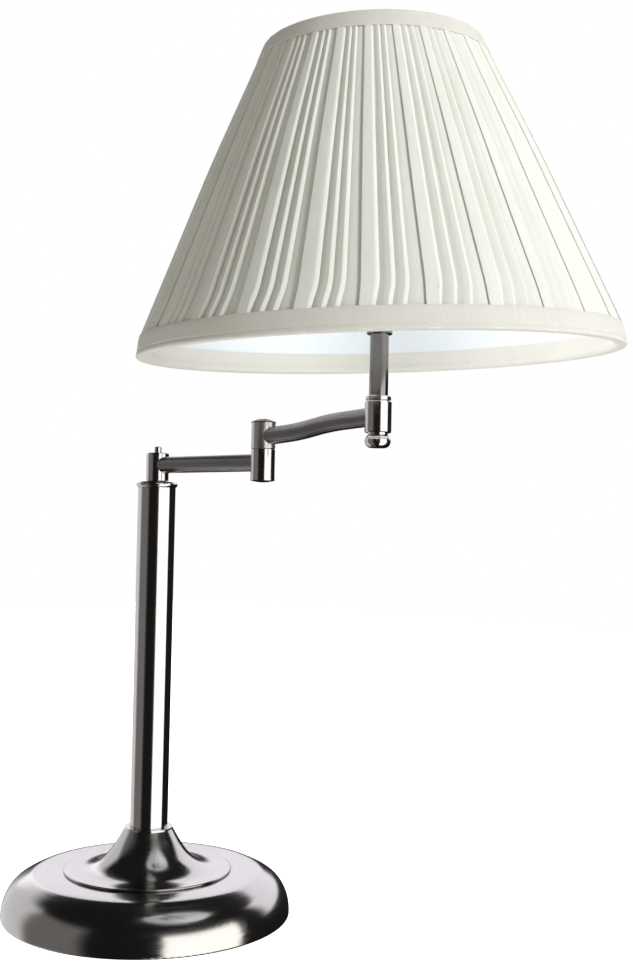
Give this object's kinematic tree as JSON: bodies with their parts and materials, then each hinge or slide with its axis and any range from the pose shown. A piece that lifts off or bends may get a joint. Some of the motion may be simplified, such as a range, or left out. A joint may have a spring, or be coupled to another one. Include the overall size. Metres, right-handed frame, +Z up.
{
  "type": "swing-arm table lamp",
  "caption": "Table lamp with a weighted round base, plain column, double swing arm and a pleated empire shade on a fixed neck.",
  "frame": {"origin": "centre of the felt's underside, on the surface the lamp stands on", "axes": "+Z up along the column; at rest both arms lie in line along +X, from the column out to the shade"},
  "size_m": [0.4252, 0.2794, 0.5398],
  "materials": {
    "satin_nickel": "satin",
    "arm_nickel": "satin",
    "zinc_steel": "satin",
    "contact_brass": "satin",
    "bulb_cap_metal": "satin",
    "black_glass": "gloss",
    "ballast_iron": "matte",
    "felt": "matte",
    "black_plastic": "matte",
    "holder_plastic": "gloss",
    "white_plastic": "matte",
    "nylon": "matte",
    "holder_ceramic": "satin",
    "opal_glass": "satin",
    "lead_insulation": "satin",
    "pleated_cloth": "matte",
    "liner_film": "satin",
    "rim_tape": "matte",
    "white_wire": "satin"
  },
  "bodies": {
    "base": {"felt_pad": "felt", "bottom_plate": "zinc_steel", "plate_screws": "zinc_steel", "base_shell": "satin_nickel", "ballast": "ballast_iron", "cord_bushing": "black_plastic", "base_cone": "satin_nickel", "column_seat": "zinc_steel", "column_tube": "satin_nickel", "tie_tube": "zinc_steel", "tie_washer": "zinc_steel", "tie_nut": "zinc_steel", "terminal_block": "white_plastic", "terminal_screws": "zinc_steel", "earth_screw": "zinc_steel", "earth_tag": "contact_brass", "earth_lead": "lead_insulation", "column_lead": "lead_insulation", "column_cap": "satin_nickel", "pivot_tube": "zinc_steel", "pivot_thrust_washer": "nylon", "pivot_spring_washer": "zinc_steel", "pivot_ring_nut": "zinc_steel"},
    "lower_arm": {"hub": "satin_nickel", "hub_plug": "satin_nickel", "lower_arm_tube": "arm_nickel", "elbow_lower": "satin_nickel", "elbow_lower_cap": "satin_nickel", "elbow_pivot_tube": "zinc_steel", "elbow_thrust_washer": "nylon", "elbow_spring_washer": "zinc_steel", "elbow_ring_nut": "zinc_steel", "lower_arm_lead": "lead_insulation"},
    "upper_arm": {"elbow_upper": "satin_nickel", "elbow_upper_cap": "satin_nickel", "upper_arm_tube": "arm_nickel", "end_knuckle": "satin_nickel", "ball_finial": "satin_nickel", "end_ring": "satin_nickel", "neck_tube": "satin_nickel", "neck_flange": "satin_nickel", "upper_arm_lead": "lead_insulation", "holder_cap": "holder_plastic", "holder_insert": "holder_ceramic", "holder_body": "holder_plastic", "thread_shell": "contact_brass", "centre_contact": "contact_brass", "shade_ring_nut": "holder_plastic", "bulb_glass": "opal_glass", "bulb_cap": "bulb_cap_metal", "bulb_insulator": "black_glass", "bulb_tip": "contact_brass", "shade_cover": "pleated_cloth", "shade_liner": "liner_film", "shade_bottom_ring": "white_wire", "shade_top_ring": "white_wire", "shade_bottom_tape": "rim_tape", "shade_top_tape": "rim_tape", "shade_fitter": "white_wire", "shade_struts": "white_wire"}
  },
  "joints": [
    {"name": "base_swing", "type": "hinge", "parent": "base", "child": "lower_arm", "pos_m": [0, 0, 0.2985], "axis": [0, 0, 1], "range_deg": [-170, 170]},
    {"name": "elbow_swing", "type": "hinge", "parent": "lower_arm", "child": "upper_arm", "pos_m": [0.098, 0, 0.3075], "axis": [0, 0, 1], "range_deg": [-160, 160]}
  ]
}
